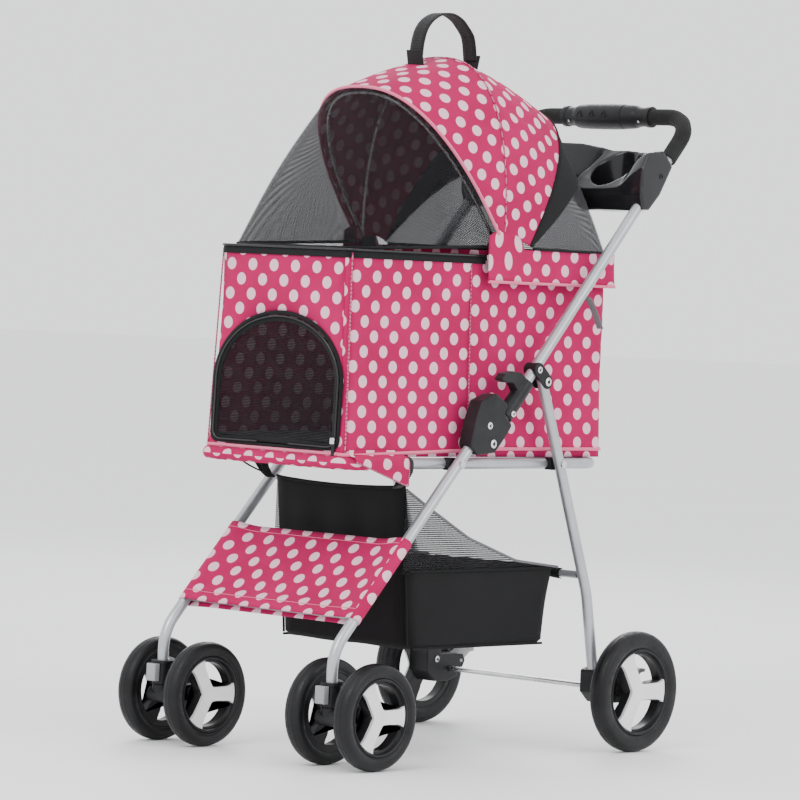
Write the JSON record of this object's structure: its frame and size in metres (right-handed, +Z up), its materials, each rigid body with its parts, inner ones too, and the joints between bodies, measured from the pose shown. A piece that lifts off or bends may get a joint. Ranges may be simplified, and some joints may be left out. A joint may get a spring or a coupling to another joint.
{
  "type": "pet stroller",
  "caption": "Folding pet stroller: mesh-fronted cloth cabin with domed canopy on a tube frame with castors, rear wheels, basket and cup tray.",
  "frame": {"origin": "on the floor under the middle of the overall box", "axes": "+X to the left side of the stroller, front faces -Y, +Z up"},
  "size_m": [0.456, 0.7889, 1.073],
  "materials": {
    "steel_tube": "silver powder coat",
    "bright_steel": "zinc plated",
    "black_plastic": "fine moulded texture",
    "grey_plastic": "moulded",
    "rim_plastic": "satin moulded",
    "tyre": "foam rubber",
    "foam": "closed cell foam",
    "pink_cloth": "woven polyester with pale dots",
    "black_cloth": "woven polyester",
    "black_mesh": "open mesh",
    "webbing": "ribbed webbing",
    "board": "stiff board",
    "mat_cloth": "quilted pad"
  },
  "bodies": {
    "lower_frame": {"front_leg_left": "steel_tube", "front_leg_right": "steel_tube", "castor_socket_left": "black_plastic", "castor_socket_right": "black_plastic", "fold_shell_left": "black_plastic", "fold_shell_right": "black_plastic", "fold_pins": "bright_steel", "footrest": "pink_cloth", "front_cross_bar": "steel_tube"},
    "upper_frame": {"handle_tube": "steel_tube", "foam_grips": "foam", "handle_grip": "black_plastic", "drinks_tray": "black_plastic", "leg_brackets": "black_plastic", "bracket_rivets": "bright_steel"},
    "lock_left": {"fold_lock_left": "black_plastic"},
    "lock_right": {"fold_lock_right": "black_plastic"},
    "carriage": {"rail_loop": "steel_tube", "rail_spacers": "black_plastic", "rear_pins": "bright_steel", "cabin": "pink_cloth", "floor_board": "board", "floor_mat": "mat_cloth", "hinge_plates": "black_plastic", "canopy_skirt": "pink_cloth", "canopy_rear": "black_mesh", "roof_rear": "pink_cloth", "basket": "black_cloth"},
    "main_bow": {"main_bow": "bright_steel", "carry_strap": "webbing", "roof_front": "pink_cloth"},
    "front_bow": {"front_bow": "bright_steel", "front_mesh": "black_mesh"},
    "door": {"front_door": "black_mesh"},
    "rear_legs": {"rear_leg_left": "steel_tube", "rear_leg_right": "steel_tube", "axle_housing_left": "black_plastic", "axle_housing_right": "black_plastic", "basket_bar": "steel_tube", "rear_axle": "bright_steel"},
    "pedal_left": {"brake_pedal_left": "grey_plastic"},
    "pedal_right": {"brake_pedal_right": "grey_plastic"},
    "swivel_lock_left": {"swivel_lock_left": "grey_plastic"},
    "swivel_lock_right": {"swivel_lock_right": "grey_plastic"},
    "castor_left": {"castor_fork_left": "black_plastic", "castor_axle_left": "bright_steel"},
    "castor_right": {"castor_fork_right": "black_plastic", "castor_axle_right": "bright_steel"},
    "wheel_front_inner_left": {"tyre_front_inner_left": "tyre", "rim_front_inner_left": "rim_plastic"},
    "wheel_front_outer_left": {"tyre_front_outer_left": "tyre", "rim_front_outer_left": "rim_plastic"},
    "wheel_front_inner_right": {"tyre_front_inner_right": "tyre", "rim_front_inner_right": "rim_plastic"},
    "wheel_front_outer_right": {"tyre_front_outer_right": "tyre", "rim_front_outer_right": "rim_plastic"},
    "wheel_rear_left": {"tyre_rear_left": "tyre", "rim_rear_left": "rim_plastic"},
    "wheel_rear_right": {"tyre_rear_right": "tyre", "rim_rear_right": "rim_plastic"}
  },
  "joints": [
    {"name": "main_fold", "type": "hinge", "parent": "lower_frame", "child": "upper_frame", "pos_m": [0, -0.05995, 0.452], "axis": [-1, 0, 0], "range_deg": [0, 115]},
    {"name": "carriage_fold", "type": "hinge", "parent": "lower_frame", "child": "carriage", "pos_m": [0, -0.11945, 0.422], "axis": [-1, 0, 0], "range_deg": [0, 84.3]},
    {"name": "leg_fold", "type": "hinge", "parent": "carriage", "child": "rear_legs", "pos_m": [0, 0.10155, 0.422], "axis": [-1, 0, 0], "range_deg": [-29.9, 0], "deforming": ["basket"]},
    {"name": "main_bow_tilt", "type": "hinge", "parent": "carriage", "child": "main_bow", "pos_m": [0, -0.01545, 0.734], "axis": [-1, 0, 0], "range_deg": [0, 30], "deforming": ["roof_rear"]},
    {"name": "front_bow_tilt", "type": "hinge", "parent": "main_bow", "child": "front_bow", "pos_m": [0, -0.01545, 0.734], "axis": [-1, 0, 0], "range_deg": [0, 27.1], "deforming": ["roof_front"]},
    {"name": "door_drop", "type": "hinge", "parent": "carriage", "child": "door", "pos_m": [0, -0.32545, 0.442], "axis": [1, 0, 0], "range_deg": [0, 95]},
    {"name": "fold_lock_left_slide", "type": "slide", "parent": "upper_frame", "child": "lock_left", "axis": [0, 0.6652, 0.7466], "range_m": [0, 0.01], "stiffness_N_per_m": 300, "springref_m": -0.003},
    {"name": "swivel_lock_left_slide", "type": "slide", "parent": "lower_frame", "child": "swivel_lock_left", "axis": [0, 0, -1], "range_m": [0, 0.005]},
    {"name": "castor_swivel_left", "type": "hinge", "parent": "lower_frame", "child": "castor_left", "pos_m": [0.167, -0.36045, 0.087], "axis": [0, 0, 1], "continuous": true},
    {"name": "wheel_spin_front_inner_left", "type": "hinge", "parent": "castor_left", "child": "wheel_front_inner_left", "pos_m": [0.121, -0.31945, 0.075], "axis": [1, 0, 0], "continuous": true},
    {"name": "wheel_spin_front_outer_left", "type": "hinge", "parent": "castor_left", "child": "wheel_front_outer_left", "pos_m": [0.213, -0.31945, 0.075], "axis": [1, 0, 0], "continuous": true},
    {"name": "brake_pedal_left_press", "type": "hinge", "parent": "rear_legs", "child": "pedal_left", "pos_m": [0.167, 0.26555, 0.1], "axis": [-1, 0, 0], "range_deg": [0, 18]},
    {"name": "wheel_spin_rear_left", "type": "hinge", "parent": "rear_legs", "child": "wheel_rear_left", "pos_m": [0.214, 0.23855, 0.089], "axis": [1, 0, 0], "continuous": true},
    {"name": "fold_lock_right_slide", "type": "slide", "parent": "upper_frame", "child": "lock_right", "axis": [0, 0.6652, 0.7466], "range_m": [0, 0.01], "stiffness_N_per_m": 300, "springref_m": -0.003},
    {"name": "swivel_lock_right_slide", "type": "slide", "parent": "lower_frame", "child": "swivel_lock_right", "axis": [0, 0, -1], "range_m": [0, 0.005]},
    {"name": "castor_swivel_right", "type": "hinge", "parent": "lower_frame", "child": "castor_right", "pos_m": [-0.167, -0.36045, 0.087], "axis": [0, 0, 1], "continuous": true},
    {"name": "wheel_spin_front_inner_right", "type": "hinge", "parent": "castor_right", "child": "wheel_front_inner_right", "pos_m": [-0.121, -0.31945, 0.075], "axis": [1, 0, 0], "continuous": true},
    {"name": "wheel_spin_front_outer_right", "type": "hinge", "parent": "castor_right", "child": "wheel_front_outer_right", "pos_m": [-0.213, -0.31945, 0.075], "axis": [1, 0, 0], "continuous": true},
    {"name": "brake_pedal_right_press", "type": "hinge", "parent": "rear_legs", "child": "pedal_right", "pos_m": [-0.167, 0.26555, 0.1], "axis": [-1, 0, 0], "range_deg": [0, 18]},
    {"name": "wheel_spin_rear_right", "type": "hinge", "parent": "rear_legs", "child": "wheel_rear_right", "pos_m": [-0.214, 0.23855, 0.089], "axis": [1, 0, 0], "continuous": true}
  ],
  "couplings": [
    {"joint": "carriage_fold", "follows": "main_fold", "ratio": 0.73194},
    {"joint": "leg_fold", "follows": "main_fold", "ratio": -0.25876},
    {"joint": "front_bow_tilt", "follows": "main_bow_tilt", "ratio": 0.9}
  ]
}
